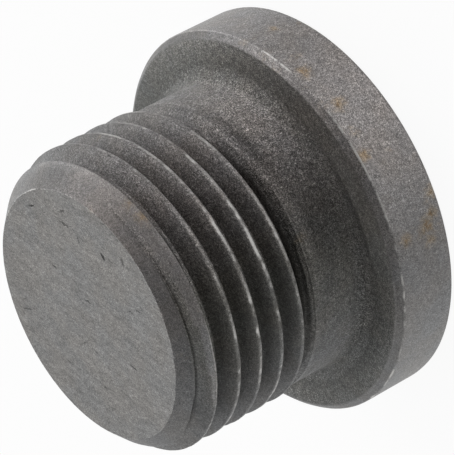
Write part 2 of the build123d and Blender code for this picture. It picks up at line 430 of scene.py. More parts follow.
class PlugMesh:
    """Rings of points with their masks, and the faces between them"""

    def __init__(self):
        self.angles = np.arange(COLUMNS) * TAU / COLUMNS
        self.warmth = spans(self.angles, WARM_SIDES)
        self.oil = spans(self.angles, OILY_SIDES)
        self.points = []
        # The shade mask carries painted light and shade, as a factor on the coat's colour
        self.masks = {"edge": [], "shade": [], "grain": [], "warm": [], "oily": []}
        self.faces, self.finish = [], []
        self.count = 0

    def put(self, points, **masks):
        """Adds points with a value in each mask and gives the index of the first"""
        self.points.append(points)
        for key, value in masks.items():
            self.masks[key].append(np.broadcast_to(value, len(points)))
        self.count += len(points)
        return self.count - len(points)

    def ring(self, radius, level, edge=0.0, shade=1.0, warm=None, oily=0.0, grain=None):
        """Adds a ring of points and gives their indices"""
        warm = self.warmth if warm is None else warm
        grain = 1 + self.warmth if grain is None else grain
        points = circle(self.angles, radius, level)
        first = self.put(points, edge=edge, shade=shade, grain=grain, warm=warm, oily=oily)
        return first + np.arange(COLUMNS)

    def centre(self, level, shade, warm=0.3, oily=0.2):
        """Adds a point on the axis and gives its index"""
        return self.put(np.array([[0.0, 0.0, level]]), edge=0.0, shade=shade, grain=1.0, warm=warm, oily=oily)

    def add(self, corners, finish):
        """Adds a face, without corners that repeat, unless nothing is left of it"""
        kept = list(dict.fromkeys(int(corner) for corner in corners))
        if len(kept) > 2:
            self.faces.append(kept)
            self.finish.append(finish)

    def chain(self, rings, finish):
        """Faces along a list of rings"""
        for low, high in zip(rings, rings[1:]):
            for j in range(COLUMNS):
                k = (j + 1) % COLUMNS
                self.add((low[j], low[k], high[k], high[j]), finish)

    def close(self, ring, centre, finish):
        """Faces between a ring and a point on the axis"""
        for j in range(COLUMNS):
            self.add((ring[j], ring[(j + 1) % COLUMNS], centre), finish)

    def make(self, name, finish, collar_radius):
        """The object, without the points that no face uses"""
        points = np.concatenate(self.points)
        used = np.unique(np.concatenate([np.array(face) for face in self.faces]))
        renumber = np.zeros(len(points), dtype=np.int64)
        renumber[used] = np.arange(len(used))
        mesh = bpy.data.meshes.new(name)
        mesh.from_pydata(points[used].tolist(), [], [renumber[face].tolist() for face in self.faces])
        masks = {key: np.concatenate(values)[used] for key, values in self.masks.items()}
        coat = coat_colors(finish, masks.pop("warm")[:, None], masks.pop("oily")[:, None])
        masks["rust"], masks["stain"] = rust_masks(points[used], collar_radius)
        for key, values in masks.items():
            mesh.attributes.new(key, "FLOAT", "POINT").data.foreach_set("value", values.astype(np.float32))
        mesh.attributes.new("coat", "FLOAT_COLOR", "POINT").data.foreach_set("color", coat.ravel())
        mesh.polygons.foreach_set("material_index", self.finish)
        mesh.shade_smooth()
        mesh.set_sharp_from_angle(angle=math.radians(SHARP_ANGLE))
        mesh.update()
        obj = bpy.data.objects.new(name, mesh)
        bpy.context.scene.collection.objects.link(obj)
        return obj


def coat_colors(finish, warm, oily):
    """Colour of the coat at each point, from how warm and how oily it is"""
    plain = np.array(finish.cool)
    coat = plain + (np.array(finish.warm) - plain) * warm + (np.array(finish.oily) - plain) * oily
    return np.concatenate([coat, np.ones((len(coat), 1))], 1).astype(np.float32)


def rust_masks(points, collar_radius):
    """How near each point is to a spot of rust, and to the stain round it"""
    rust, stain = np.zeros(len(points)), np.zeros(len(points))
    on_side = [(degrees, collar_radius / MM, *spot) for degrees, *spot in SIDE_RUST]
    for degrees, radius, level, size, strength in (*on_side, *OTHER_RUST):
        spot = circle(np.radians([degrees]), radius, level) * MM
        distance = np.linalg.norm(points - spot, axis=1) / (size * MM)
        rust = np.maximum(rust, strength * np.exp(-distance ** 2))
        stain = np.maximum(stain, min(strength, MOST_STAIN) * np.exp(-(distance / 2) ** 2))
    return rust, stain


class CrestWear:
    """Wear along the crest of the thread, by turns of the helix from its first crest"""

    TURN_SPREAD = 0.9               # rise of the noise from turn to turn, in crest radii
    MOST_DENT = 0.075 * MM
    BRIGHT_DENT = 0.12 * MM         # a dent this deep shows bare steel
    SMALL_DENTS = ((-6, 1), (0.06, 0.2), (0.006, 0.022))    # limits of turn, half width and depth

    def __init__(self, form, wear):
        rng = np.random.default_rng(wear.seed)
        self.wear = wear
        self.radius = form.crest_radius
        self.dents = []
        for degrees, level, width, depth in CREST_DENTS:
            turn = (level * MM - form.first_groove - form.s.pitch / 2) / form.s.pitch - degrees / 360
            self.dents.append((round(turn) + degrees / 360, width * MM, depth * MM))
        for _ in range(wear.small_dents):
            turn, width, depth = (rng.uniform(*limits) for limits in self.SMALL_DENTS)
            self.dents.append((turn, width * MM, depth * MM))

    def dent(self, turn):
        """Depth of the dents at each turn value"""
        depth = np.zeros(len(turn))
        for at, width, most in self.dents:
            depth += most * np.exp(-((turn - at) * TAU * self.radius / width) ** 2)
        return np.minimum(depth, self.MOST_DENT)

    def along(self, turn):
        """Depth lost, stray along the axis, and how brightly it is rubbed"""
        line = circle(turn * TAU, self.radius, turn * self.TURN_SPREAD * self.radius)
        slow, quick = uneven(line, 2.2 * MM, 1), uneven(line, 0.45 * MM, 2)
        rubbed = np.clip(0.55 + 0.9 * slow + 0.5 * quick, 0, 1)
        dent = self.dent(turn)
        depth = self.wear.crest_wear * rubbed + dent
        stray = self.wear.crest_wander * (uneven(line, 1.1 * MM, 3) + 0.5 * uneven(line, 0.35 * MM, 4))
        return depth, stray, np.clip(0.32 + 0.38 * rubbed + dent / self.BRIGHT_DENT, 0, 1)


class Thread:
    """The threaded length: rows of points that follow the helix, cut off level at both ends"""

    FLANK_ROWS = (0, 0.14, 0.35, 0.58, 0.78, 0.9)       # shares of the way from the root to the crest
    CREST_ROWS = (-0.12, 0.12, 0.5)     # shares of half the crest's flat, from its edge
    FOOT_ROUND = 0.03 * MM          # between the lowest turn and the floor of the run-out groove
    END_ROUND = 0.04 * MM           # where the end chamfer and the groove cut the turns off
    END_FADE = 0.25 * MM            # the wear of a crest ends where the bar is this much lower
    WORN_EDGE = (-0.16 * MM, 0.02 * MM)     # wear starts and is full here, from the edge of the crest's flat
    CHAMFER_EDGE = (0.1 * MM, -0.03 * MM)   # the end chamfer's tone starts and is full here, from the crest
    CHAMFER_SKIN = 0.05 * MM        # points less deep than this under the end chamfer have its tone
    END_RUB = 0.6                   # how brightly the edge of the end face is rubbed
    TURNED_EDGE, TURNED_RUB = 0.07 * MM, 0.35   # half width and rub of the edge between flank and chamfer

    def __init__(self, mesh, form, wear):
        self.mesh, self.form, self.pitch = mesh, form, form.s.pitch
        self.crest = CrestWear(form, wear)
        self.lead = self.pitch * mesh.angles / TAU
        self.turns_down = math.ceil((form.first_groove - form.slope_top) / self.pitch) + 1
        self.lowest = form.first_groove - self.turns_down * self.pitch
        self.turns = math.ceil((form.length - self.lowest) / self.pitch) + 1
        # Painted light and shade of the thread, its root, its crest, the end chamfer and the run-out groove
        self.tones = {place: tone(place, mesh.angles)
                      for place in ("thread", "root", "crest", "end chamfer", "groove")}

    def offsets(self):
        """Axial offsets of one pitch of rows, from the middle of the thread groove"""
        root, flat = self.form.s.root_flat / 2, self.form.s.crest_flat / 2
        side = [root + (self.form.crest_edge - root) * k for k in self.FLANK_ROWS]
        side += [self.form.crest_edge + flat * k for k in self.CREST_ROWS]
        return [-offset for offset in reversed(side)] + side + [self.pitch / 2]

    def lower_end(self):
        """Level ring with the radius of the run-out groove, or of the thread where that is deeper"""
        form, half = self.form, self.pitch / 2
        offset = np.mod(form.slope_top - self.lowest - self.lead + half, self.pitch) - half
        floor = np.full(offset.shape, form.groove_radius)
        radius = smooth_min(form.thread_radius(offset), floor, self.FOOT_ROUND)
        return self.mesh.ring(radius, form.slope_top, 0, self.tones["groove"], oily=self.mesh.oil)

    def upper_end(self):
        """Level ring at the edge of the end face"""
        rub = self.END_RUB + spans(self.mesh.angles, END_EDGE_RUBS)
        return self.mesh.ring(self.form.end_radius, self.form.length, rub, self.tones["end chamfer"])

    def shine(self, offset, first_one):
        """How much a row has of the crest's painted highlight and of its rubbing"""
        edge = self.form.crest_edge
        if offset > 0:
            return smooth_step(offset - 0.1 * MM * first_one, edge - 0.07 * MM, edge + 0.02 * MM)
        return smooth_step(-offset, edge + (0.01 - 0.2 * first_one) * MM, self.pitch / 2)

    def flank_tone(self, level, offset, shine, first_one):
        """Painted light and shade of a row from root to crest: a painted highlight on the crest, stronger by
        the end chamfer, painted light in the root, and the groove's painted light at its stretch at the
        run-out groove
        """
        form, tones = self.form, self.tones
        by_chamfer = smooth_step(level, form.chamfer_level - 0.4 * MM, form.chamfer_level - 0.2 * MM)
        ridge = tones["crest"] * (1 + 0.1 * first_one + 0.3 * by_chamfer)
        root = mixed(tones["root"], 1, smooth_step(abs(offset), 0, 0.3 * MM))
        shade = tones["thread"] * root * mixed(1, ridge, shine ** (1 + 0.5 * first_one))
        by_groove = smooth_step(level, form.groove_top + 0.3 * MM, form.slope_top)
        return mixed(shade, tones["groove"] * 1.4, by_groove)

    def chamfer_tone(self, level, limit, shine, first_one):
        """Painted light and shade of the end chamfer, darker towards the end, with a painted glow where it
        starts and a share of the crest's painted highlight
        """
        up = smooth_step(level - self.form.chamfer_level, 0.3 * MM, 0.9 * MM)
        at_start = smooth_step(self.form.crest_radius - limit, 0.2 * MM, 0.08 * MM)
        crest = mixed(1, self.tones["crest"], shine * first_one * 0.6)
        return self.tones["end chamfer"] * (1.16 - 0.2 * up) * (1 + 0.28 * at_start) * crest

    def row(self, turn, offset, depth, stray, rubbed):
        """Levels and indices of the points at an axial offset from the middle of one turn's groove"""
        form, mesh = self.form, self.mesh
        level = self.lowest + turn * self.pitch + offset + self.lead
        crest_middle = level - offset + math.copysign(self.pitch / 2, offset)
        first_one = form.first_crest(crest_middle)
        cut = form.first_crest_cut(crest_middle) * (offset > 0)
        shine = self.shine(offset, first_one)
        limit = form.envelope(level)
        threaded = form.thread_radius(offset, cut)
        inside = smooth_step(limit, form.crest_radius - self.END_FADE, form.crest_radius)
        worn = inside * smooth_step(abs(offset), *(form.crest_edge + reach for reach in self.WORN_EDGE))
        radius = smooth_min(threaded - depth * worn, limit, self.END_ROUND)
        turned_edge = np.exp(-((threaded - limit) / self.TURNED_EDGE) ** 2) * (level > form.groove_top)
        lit = np.maximum(rubbed * shine * inside, self.TURNED_RUB * turned_edge)
        shade = self.flank_tone(level, offset, shine, first_one)
        strayed = level + stray * worn
        chamfered = smooth_step(limit, *(form.crest_radius + reach for reach in self.CHAMFER_EDGE))
        chamfered = chamfered * (strayed > form.groove_top) * (radius > limit - self.CHAMFER_SKIN)
        shade = mixed(shade, self.chamfer_tone(strayed, limit, shine, first_one), chamfered)
        indices = mesh.ring(radius, strayed, lit, shade, oily=mesh.oil * (1 - chamfered),
                            grain=1 + mesh.warmth * (1 - chamfered))
        return strayed, indices

    def build(self):
        """Adds all points and faces, and gives the rings at the lower and upper end"""
        low, high = self.lower_end(), self.upper_end()
        offsets = self.offsets()
        rows = []
        for turn in range(self.turns + 1):
            below, above = (self.crest.along(turn - self.turns_down + side + self.mesh.angles / TAU)
                            for side in (0, 1))
            for offset in offsets:
                level, indices = self.row(turn, offset, *(above if offset > 0 else below))
                inside = np.where(level >= self.form.length, high, indices)
                rows.append(np.where(level <= self.form.slope_top, low, inside))
        per_turn = len(offsets)
        for i in range(len(rows) - 1 - per_turn):
            for j in range(COLUMNS):
                # past the last column, a row goes on as the row one turn up
                k, wrap = (j + 1, 0) if j + 1 < COLUMNS else (0, per_turn)
                self.mesh.add((rows[i][j], rows[i + wrap][k], rows[i + 1 + wrap][k], rows[i + 1][j]), THREAD)
        return low, high


def socket(mesh, form):
    """Drilled bottom, hexagon and mouth of the socket, from the axis outwards"""
    s = form.s
    drill = s.drill_diameter / 2
    tip = s.socket_depth + drill / math.tan(s.drill_angle)
    hexagon = form.hexagon_radius(mesh.angles)
    # Painted shade in the socket: all of it is darker, and the hexagon's flats are darker still towards the
    # bottom
    rings = [mesh.ring(drill * k, mixed(tip, s.socket_depth, k), 0, SOCKET_PAINTED_SHADE) for k in DRILL_RINGS]
    rings.append(mesh.ring(hexagon, s.socket_depth, 0, SOCKET_PAINTED_SHADE))
    mouth = (form.mouth_radius - hexagon) / math.tan(s.socket_mouth_angle)
    for k, rub in HEXAGON_RINGS:
        rings.append(mesh.ring(hexagon, mixed(s.socket_depth, mouth, k), rub, mixed(0.7, 1, k)))
    for k, rub in MOUTH_RINGS:
        radius = mixed(hexagon, form.mouth_radius - MOUTH_INSET, k)
        rings.append(mesh.ring(radius, mixed(mouth, MOUTH_RISE, k), rub))
    mesh.close(list(reversed(rings[0])), mesh.centre(tip, SOCKET_PAINTED_SHADE), SOCKET)
    mesh.chain(rings, SOCKET)
    return rings[-1]


def outer_face(mesh, form):
    """Flat face that the plug stands on"""
    reach = form.collar_radius - form.s.edge_break - form.mouth_radius
    return [mesh.ring(form.mouth_radius + reach * k, 0, rub) for k, rub in OUTER_FACE_RINGS]


def rim(mesh, form, wear):
    """Broken outer edge, side of the collar, and its chamfer, rounded and battered"""
    s, angles, side = form.s, mesh.angles, form.collar_radius
    around = circle(angles, side)
    ragged = wear.rim_wear * (uneven(around, 1.6 * MM, 5) + 0.6 * uneven(around, 0.5 * MM, 6))
    waves = spans(angles, RIM_WAVES)
    dip, bulge = np.maximum(ragged, 0) + np.maximum(-waves, 0) * MM, np.maximum(waves, 0) * MM
    rubs = np.clip(spans(angles, RIM_RUBS), 0, 1)
    rubbed = np.clip(0.16 + 0.25 * uneven(around, 0.8 * MM, 7) + rubs, 0, 1)
    break_rub = np.clip(0.3 + 0.5 * uneven(around, 1.2 * MM, 8), 0, 1)
    rings = [mesh.ring(side - s.edge_break * inset, s.edge_break * up, break_rub * rub)
             for inset, up, rub in EDGE_BREAK_RINGS]
    # Painted light and shade round the side of the collar, on the rim's chamfer and on the sealing face by
    # the rim
    side_tone, rim_tone = tone("side", angles), tone("rim", angles)
    foot, top = s.edge_break * SIDE_START, s.collar_thickness - s.rim_chamfer
    rings += [mesh.ring(side, mixed(foot, top, k), rub, side_tone) for k, rub in SIDE_RINGS]
    for k, inset, rub in RIM_RINGS:
        worn = mixed(0.4, 1, math.sin(math.pi * np.clip(k, 0, 1)))
        out = -dip * worn - RUB_DEPTH * rubs * worn + bulge * (1 - abs(k - 0.4)) * 0.35
        radius = side - s.rim_chamfer * max(k, 0) - inset * MM + np.minimum(out, MOST_BULGE)
        rings.append(mesh.ring(radius, top + s.rim_chamfer * k * 0.96 + out * 0.6, rubbed * rub,
                               side_tone if k < 0.1 else rim_tone))
    edge = mesh.ring(side - s.rim_chamfer * CHAMFER_REACH, s.collar_thickness, rubbed * 0.1,
                     tone("face by rim", angles), oily=0.5, grain=face_grain(angles))
    return [*rings, edge]


def face_grain(angles):
    """Grain of the sealing face at each angle"""
    return FACE_GRAIN + spans(angles, FACE_GRAIN_HUMPS)


def sealing_face(mesh, form):
    """Face between the rim and the fillet of the neck"""
    angles, start = mesh.angles, form.fillet_radius
    reach = form.collar_radius - form.s.rim_chamfer * CHAMFER_REACH - start
    # Painted light and shade, going over from its values by the neck to its values by the rim
    return [mesh.ring(start + reach * k, form.s.collar_thickness, 0,
                      mixed(tone("face by neck", angles), tone("face by rim", angles), k),
                      oily=0.7, grain=face_grain(angles)) for k in SEALING_FACE_RINGS]


def neck_fillet(mesh, form, wear):
    """Fillet between the sealing face and the neck, with the tool's line in it, on one side"""
    fillet, angles = form.s.neck_fillet, mesh.angles
    marked = smooth_step(spans(angles, TOOL_MARK_SIDE), 0.15, 0.75)
    # Painted light and shade from the fillet's foot up to the neck's lit foot, with painted shade along the
    # tool's line
    foot_tone, neck_tone = tone("fillet foot", angles), tone("neck", angles) * tone("neck foot", angles)
    rings = []
    for degrees, line in FILLET_RINGS:
        a = math.radians(degrees)
        reach = fillet + wear.tool_mark * marked * line
        up = smooth_step(degrees, 226, 174)
        level = form.s.collar_thickness + fillet + reach * math.sin(a)
        shade = mixed(foot_tone, neck_tone, up) * (1 - 0.12 * line * marked)
        rings.append(mesh.ring(form.fillet_radius + reach * math.cos(a), level, 0, shade,
                               oily=mixed(0.5, mesh.oil, up),
                               grain=mixed(face_grain(angles), 1 + mesh.warmth, up)))
    return rings


def neck(mesh, form):
    """Neck, with shallow turned lines under its upper edge"""
    angles, bottom = mesh.angles, form.s.collar_thickness + form.s.neck_fillet
    # Painted light and shade: painted light at the neck's foot, a band under its upper edge and its edge, and
    # painted shade in the turned lines
    neck_tone, foot_tone, band_tone, edge_tone = (
        tone(place, angles) for place in ("neck", "neck foot", "neck band", "neck edge"))
    rings = []
    for k, line in NECK_RINGS:
        at_edge = k > NECK_EDGE
        foot = mixed(foot_tone, 1, smooth_step(k, 0, 0.53))
        top = edge_tone if at_edge else mixed(1, band_tone, smooth_step(k, 0.62, 0.81))
        shade = neck_tone * foot * top * (1 - 0.15 * line)
        rings.append(mesh.ring(form.neck_radius - line * LINE_DEPTH, mixed(bottom, form.wall_level, k),
                               NECK_EDGE_RUB * at_edge, shade, oily=mesh.oil))
    return rings


def groove_slope(mesh, form):
    """Slope from the edge of the neck down to the bottom of the run-out groove"""
    angles, start = mesh.angles, form.wall_level + EDGE_RISE
    # Painted light and shade along the slope, from the neck's edge line and the wall down into the groove
    tones = {place: tone(place, angles)
             for place in ("edge line", "wall", "wall foot", "groove corner", "groove")}
    tones["edge line"] *= GROOVE_EDGE_PAINTED_SHADE
    tones["wall"] *= GROOVE_EDGE_PAINTED_SHADE
    tones["wall foot"] *= tones["wall"]
    tones["groove corner"] *= tones["groove"]
    return [mesh.ring(mixed(form.neck_radius, form.groove_radius, min(k * 1.35, 1) ** 0.8),
                      mixed(start, form.slope_top, k), rub, tones[place], oily=mesh.oil)
            for k, rub, place in SLOPE_RINGS]


def end_face(mesh, form, wear, edge):
    """Slightly wavy flat at the end of the thread, with a duller band near its edge"""
    rings = [edge]
    for k, rub in END_FACE_RINGS:
        radius = form.end_radius * k
        waves = uneven(circle(mesh.angles, radius), 3.2 * MM, 9) - 1
        level = form.length + wear.face_waves * waves * (0.3 if rub else 1) / 2
        shade = 1 + tone("end face band", mesh.angles) * math.exp(-((k - 0.8) / 0.13) ** 2)
        rings.append(mesh.ring(radius, level, rub, shade, warm=0.25, oily=0.25, grain=1))
    mesh.chain(rings, END_FACE)
    mesh.close(rings[-1], mesh.centre(form.length - wear.face_waves / 2, 1), END_FACE)


def collar_and_neck(mesh, form, wear, mouth):
    """Collar and neck from the mouth of the socket to the run-out groove, and gives the last ring"""
    rings = [mouth, *outer_face(mesh, form), *rim(mesh, form, wear)]
    mesh.chain(rings, COLLAR)
    rings = [rings[-1], *sealing_face(mesh, form), *neck_fillet(mesh, form, wear), *neck(mesh, form),
             *groove_slope(mesh, form)]
    mesh.chain(rings, NECK)
    return rings[-1]


# ---------------------------------------------------------------- materials

class Wires:
    """Adds nodes to a shader tree, and gives their outputs"""

    def __init__(self, tree):
        self.tree = tree

    def feed(self, socket, value):
        """Links an output to an input socket, or sets its value"""
        if isinstance(value, bpy.types.NodeSocket):
            self.tree.links.new(value, socket)
        else:
            socket.default_value = value

    def node(self, kind, inputs=None, **settings):
        """A shader node with its settings and inputs"""
        node = self.tree.nodes.new("ShaderNode" + kind)
        for key, value in settings.items():
            setattr(node, key, value)
        for key, value in (inputs or {}).items():
            self.feed(node.inputs[key], value)
        return node

    def math(self, operation, *values, clamp=False):
        """Output of a Math node"""
        return self.node("Math", dict(enumerate(values)), operation=operation, use_clamp=clamp).outputs[0]

    def total(self, value, *others):
        """Sum of values"""
        for other in others:
            value = self.math("ADD", value, other)
        return value

    def product(self, value, *others):
        """Product of values"""
        for other in others:
            value = self.math("MULTIPLY", value, other)
        return value

    def centred(self, value):
        """A value between 0 and 1, moved to lie about 0"""
        return self.math("SUBTRACT", value, 0.5)

    def swing(self, centred, gain, contrast):
        """Tone about 1 that follows a value about 0"""
        return self.total(1.0, self.product(centred, gain, contrast))

    def span(self, value, low, high, to_low=0.0, to_high=1.0):
        """Smooth change from to_low at low to to_high at high"""
        return self.node("MapRange", {"Value": value, "From Min": low, "From Max": high, "To Min": to_low,
                                      "To Max": to_high}, interpolation_type="SMOOTHSTEP").outputs["Result"]

    def vector(self, operation, *values, output=0):
        """Output of a Vector Math node"""
        return self.node("VectorMath", dict(enumerate(values)), operation=operation).outputs[output]

    def thrice(self, value):
        """Vector with one value in all three places"""
        return self.node("CombineXYZ", {0: value, 1: value, 2: value}).outputs[0]

    def mix(self, factor, a, b):
        """Mix of two colours"""
        return self.node("Mix", {0: factor, 6: a, 7: b}, data_type="RGBA").outputs[2]

    def noise(self, place, per_metre, detail=2.0, roughness=0.5, output=0):
        """Output of a Noise Texture"""
        return self.node("TexNoise", {"Vector": place, "Scale": per_metre, "Detail": detail,
                                      "Roughness": roughness}).outputs[output]

    def stretched(self, place, scale, degrees, at=(0, 0, 0)):
        """Place in a frame that is moved, turned about Z and scaled"""
        turn = (0, 0, math.radians(degrees))
        return self.node("Mapping", {"Vector": place, "Location": at, "Rotation": turn, "Scale": scale},
                         vector_type="TEXTURE").outputs[0]


def crystal_grain(wires, given):
    """Fine crystals of the phosphate coat in three sizes: a tone about 1 and a height"""
    per_metre = wires.math("DIVIDE", 1 / MM, given["Size"])

    def crystals(share, detail):
        return wires.centred(wires.noise(given["Vector"], wires.product(per_metre, share), detail))

    fine, middle, coarse = crystals(1.0, 1.0), crystals(0.42, 0.0), crystals(0.15, 1.0)
    clumps = wires.total(middle, wires.product(coarse, 0.6))
    both = wires.total(fine, wires.product(clumps, given["Clumps"]))
    return {"Tone": wires.math("EXPONENT", wires.product(both, 8.0, given["Contrast"])),
            "Height": wires.total(both, 0.5)}


def coat_patches(wires, given):
    """Slow changes of the coat: one mask for its tint and a tone about 1"""
    per_metre = wires.math("DIVIDE", 1 / MM, given["Size"])
    tint = wires.noise(given["Vector"], per_metre, 3.0, 0.6)
    elsewhere = wires.vector("ADD", given["Vector"], (0.031, 0.017, 0.005))
    clouds = wires.noise(elsewhere, wires.product(per_metre, 1.7), 4.0, 0.62)
    return {"Tint": wires.span(tint, 0.36, 0.64),
            "Tone": wires.swing(wires.centred(clouds), 3.0, given["Contrast"])}


def turned_lines(wires, given):
    """Marks that a lathe leaves round the axis: a tone about 1 and a height"""
    x, y, z = wires.node("SeparateXYZ", {0: given["Vector"]}).outputs
    flat = wires.node("CombineXYZ", {"X": x, "Y": y}).outputs[0]
    radius = wires.vector("LENGTH", flat, output="Value")
    per_metre = wires.math("DIVIDE", 1 / MM, given["Spacing"])
    across = wires.product(wires.total(radius, wires.product(z, 0.83)), per_metre)
    along = wires.product(wires.noise(given["Vector"], 0.45 / MM, 1.0), 2.5)
    place = wires.node("CombineXYZ", {"X": across, "Y": along}).outputs[0]
    lines = wires.noise(place, 1.0, 2.0, 0.7)
    return {"Tone": wires.swing(wires.centred(lines), 4.0, given["Contrast"]), "Height": lines}


def rubbed_edge(wires, given):
    """Where the coat is rubbed off an edge, broken up by noise"""
    fine = wires.product(wires.noise(given["Vector"], 5.2 / MM, 3.0, 0.7), 1.3)
    coarse = wires.product(wires.noise(given["Vector"], 1.1 / MM), 0.9)
    breaks = wires.product(wires.math("SUBTRACT", wires.total(fine, coarse), 1.1), given["Breaks"])
    level = wires.total(given["Edge"], breaks, wires.centred(given["Reach"]))
    return {"Mask": wires.product(wires.span(level, 0.35, 1.0), wires.span(given["Edge"], 0.02, 0.2))}


def rust_spots(wires, given):
    """Ragged rust about the marked spots: one mask for thick rust and one for its stain"""
    ragged = wires.centred(wires.noise(given["Vector"], 3.3 / MM, 4.0, 0.7))
    level = wires.total(given["Spot"], wires.product(ragged, 2.2))
    wide = wires.total(given["Near"], wires.product(ragged, 1.2))
    return {"Rust": wires.product(wires.span(level, 0.55, 1.1), wires.span(given["Spot"], 0.05, 0.3), 0.8),
            "Stain": wires.span(wide, 0.2, 1.0, 0.0, 0.9)}


def end_pits(wires, given):
    """Short ragged pits of the end face"""
    ragged = wires.noise(given["Vector"], 5.2 / MM, 3.0, output="Color")
    shift = wires.vector("SUBTRACT", ragged, (0.5, 0.5, 0.5))
    reach = wires.thrice(wires.product(given["Ragged"], MM))
    moved = wires.vector("ADD", given["Vector"], wires.vector("MULTIPLY", shift, reach))
    deepest = 0.0
    for x, y, degrees, long, wide, dark in END_PITS:
        local = wires.stretched(moved, (long * 0.55 * MM, wide * 0.34 * MM, 1), degrees, (x * MM, y * MM, 0))
        away = wires.vector("LENGTH", local, output="Value")
        deepest = wires.math("MAXIMUM", deepest, wires.span(away, 1.3, 0.5, 0.0, dark))
    return {"Pit": deepest}


def drawn_streaks(wires, given):
    """Fine marks of the drawn bar that run one way: a tone about 1"""
    def streaks(long, wide):
        place = wires.stretched(given["Vector"], (long * MM, wide * MM, MM), DRAWN_ANGLE)
        return wires.centred(wires.noise(place, 1.0, 3.0, 0.65))

    off = wires.total(streaks(0.32, 0.1), wires.product(streaks(1.4, 0.4), 0.7))
    return {"Tone": wires.swing(off, 5.0, given["Contrast"])}


# Node groups that the finishes share: how each is made, and its inputs besides the place
GROUPS = {
    "crystal grain": (crystal_grain, {"Size": 0.06, "Contrast": 0.3, "Clumps": 0.4}),
    "coat patches": (coat_patches, {"Size": 2.0, "Contrast": 0.2}),
    "turned lines": (turned_lines, {"Spacing": 0.12, "Contrast": 0.1}),
    "rubbed edge": (rubbed_edge, {"Edge": 0.0, "Reach": 0.5, "Breaks": 1.0}),
    "rust spots": (rust_spots, {"Spot": 0.0, "Near": 0.0}),
    "end pits": (end_pits, {"Ragged": 0.3}),
    "drawn streaks": (drawn_streaks, {"Contrast": 0.15}),
}


def shader_group(name):
    """Shader node group with named inputs and outputs"""
    effect, inputs = GROUPS[name]
    tree = bpy.data.node_groups.new(name, "ShaderNodeTree")
    tree.interface.new_socket("Vector", in_out="INPUT", socket_type="NodeSocketVector")
    for key, default in inputs.items():
        tree.interface.new_socket(key, in_out="INPUT", socket_type="NodeSocketFloat").default_value = default
    results = effect(Wires(tree), tree.nodes.new("NodeGroupInput").outputs)
    for key in results:
        tree.interface.new_socket(key, in_out="OUTPUT", socket_type="NodeSocketFloat")
    put = tree.nodes.new("NodeGroupOutput").inputs
    for key, value in results.items():
        tree.links.new(value, put[key])
    return tree


def coated_steel(name, groups, finish, *, grain, patches=0.07, lines=0.05, line_spacing=0.13,
                 streaks=0.0, pits=0.0, rubbed=0.5, breaks=1.0, relief=0.02):
    """Phosphated steel with grain, patches, turned lines, rubbed edges, rust and the painted light and shade
    that the mesh carries.
    Line spacing and relief, the height of the grain, are in millimetres."""
    material = bpy.data.materials.new(name)
    material.use_nodes = True
    wires = Wires(material.node_tree)
    shader = wires.tree.nodes["Principled BSDF"]
    place = wires.node("TexCoord").outputs["Object"]

    def effect(key, **inputs):
        """Outputs of a shared group"""
        node = wires.node("Group", node_tree=groups[key])
        for label, value in {"Vector": place, **inputs}.items():
            wires.feed(node.inputs[label], value)
        return node.outputs

    def mask(key, output="Fac"):
        """Value that the mesh carries"""
        return wires.node("Attribute", attribute_name=key).outputs[output]

    contrast = wires.product(mask("grain"), grain)
    crystal = effect("crystal grain", Size=GRAIN_SIZE, Contrast=contrast, Clumps=CLUMPS)
    patch = effect("coat patches", Size=PATCH_SIZE, Contrast=patches)
    turning = effect("turned lines", Spacing=line_spacing, Contrast=lines)
    wear = effect("rubbed edge", Edge=mask("edge"), Reach=rubbed, Breaks=breaks)["Mask"]
    rust = effect("rust spots", Spot=mask("rust"), Near=mask("stain"))

    coat = mask("coat", "Color")
    coat = wires.mix(patch["Tint"], wires.vector("MULTIPLY", coat, COOL_PATCH),
                     wires.vector("MULTIPLY", coat, WARM_PATCH))
    # The mesh's shade mask is painted light and shade
    shade = wires.product(crystal["Tone"], patch["Tone"], turning["Tone"], mask("shade"))
    height = wires.total(crystal["Height"], wires.product(turning["Height"], lines * LINE_HEIGHT))
    if streaks:
        shade = wires.product(shade, effect("drawn streaks", Contrast=streaks)["Tone"])
    if pits:
        pit = effect("end pits")["Pit"]
        shade = wires.product(shade, wires.span(pit, 0, 1, 1, 1 - pits))
        height = wires.math("SUBTRACT", height, wires.product(pit, PIT_DEPTH))
    coat = wires.vector("MULTIPLY", coat, wires.thrice(shade))
    coat = wires.mix(rust["Stain"], coat, wires.vector("MULTIPLY", coat, STAIN_TINT))
    coat = wires.mix(rust["Rust"], coat, (*finish.rust, 1))
    coat = wires.mix(wires.product(wear, RUB_COVER), coat, (*finish.bright, 1))
    wires.feed(shader.inputs["Base Color"], coat)

    cloudy = wires.product(wires.math("SUBTRACT", patch["Tone"], 1.0), PATCH_ROUGHNESS)
    rough = wires.total(ROUGHNESS, cloudy, wires.product(rust["Rust"], RUST_ROUGHNESS))
    rough = wires.math("SUBTRACT", rough, wires.product(wear, RUB_POLISH), clamp=True)
    wires.feed(shader.inputs["Roughness"], rough)
    dulled = wires.product(rust["Rust"], RUST_DULLING)
    wires.feed(shader.inputs["Metallic"], wires.math("SUBTRACT", 1.0, dulled))
    bump = wires.node("Bump", {"Strength": 1.0, "Distance": relief * MM, "Height": height})
    wires.feed(shader.inputs["Normal"], bump.outputs[0])
    return material


def plug_materials(finish):
    """The plug's finishes, in the order of its faces' numbers"""
    groups = {name: shader_group(name) for name in GROUPS}
    return (
        coated_steel("drawn_end_face", groups, finish, grain=0.27, patches=0.16, lines=0.0, streaks=0.2,
                     pits=0.75, rubbed=0.4, relief=0.01),
        coated_steel("cut_thread", groups, finish, grain=0.26, patches=0.14, lines=0.06, breaks=0.6),
        coated_steel("turned_collar", groups, finish, grain=0.2, lines=0.04),
        coated_steel("turned_neck", groups, finish, grain=0.32, relief=0.04),
        coated_steel("broached_socket", groups, finish, grain=0.2, lines=0.1, line_spacing=0.3),
    )


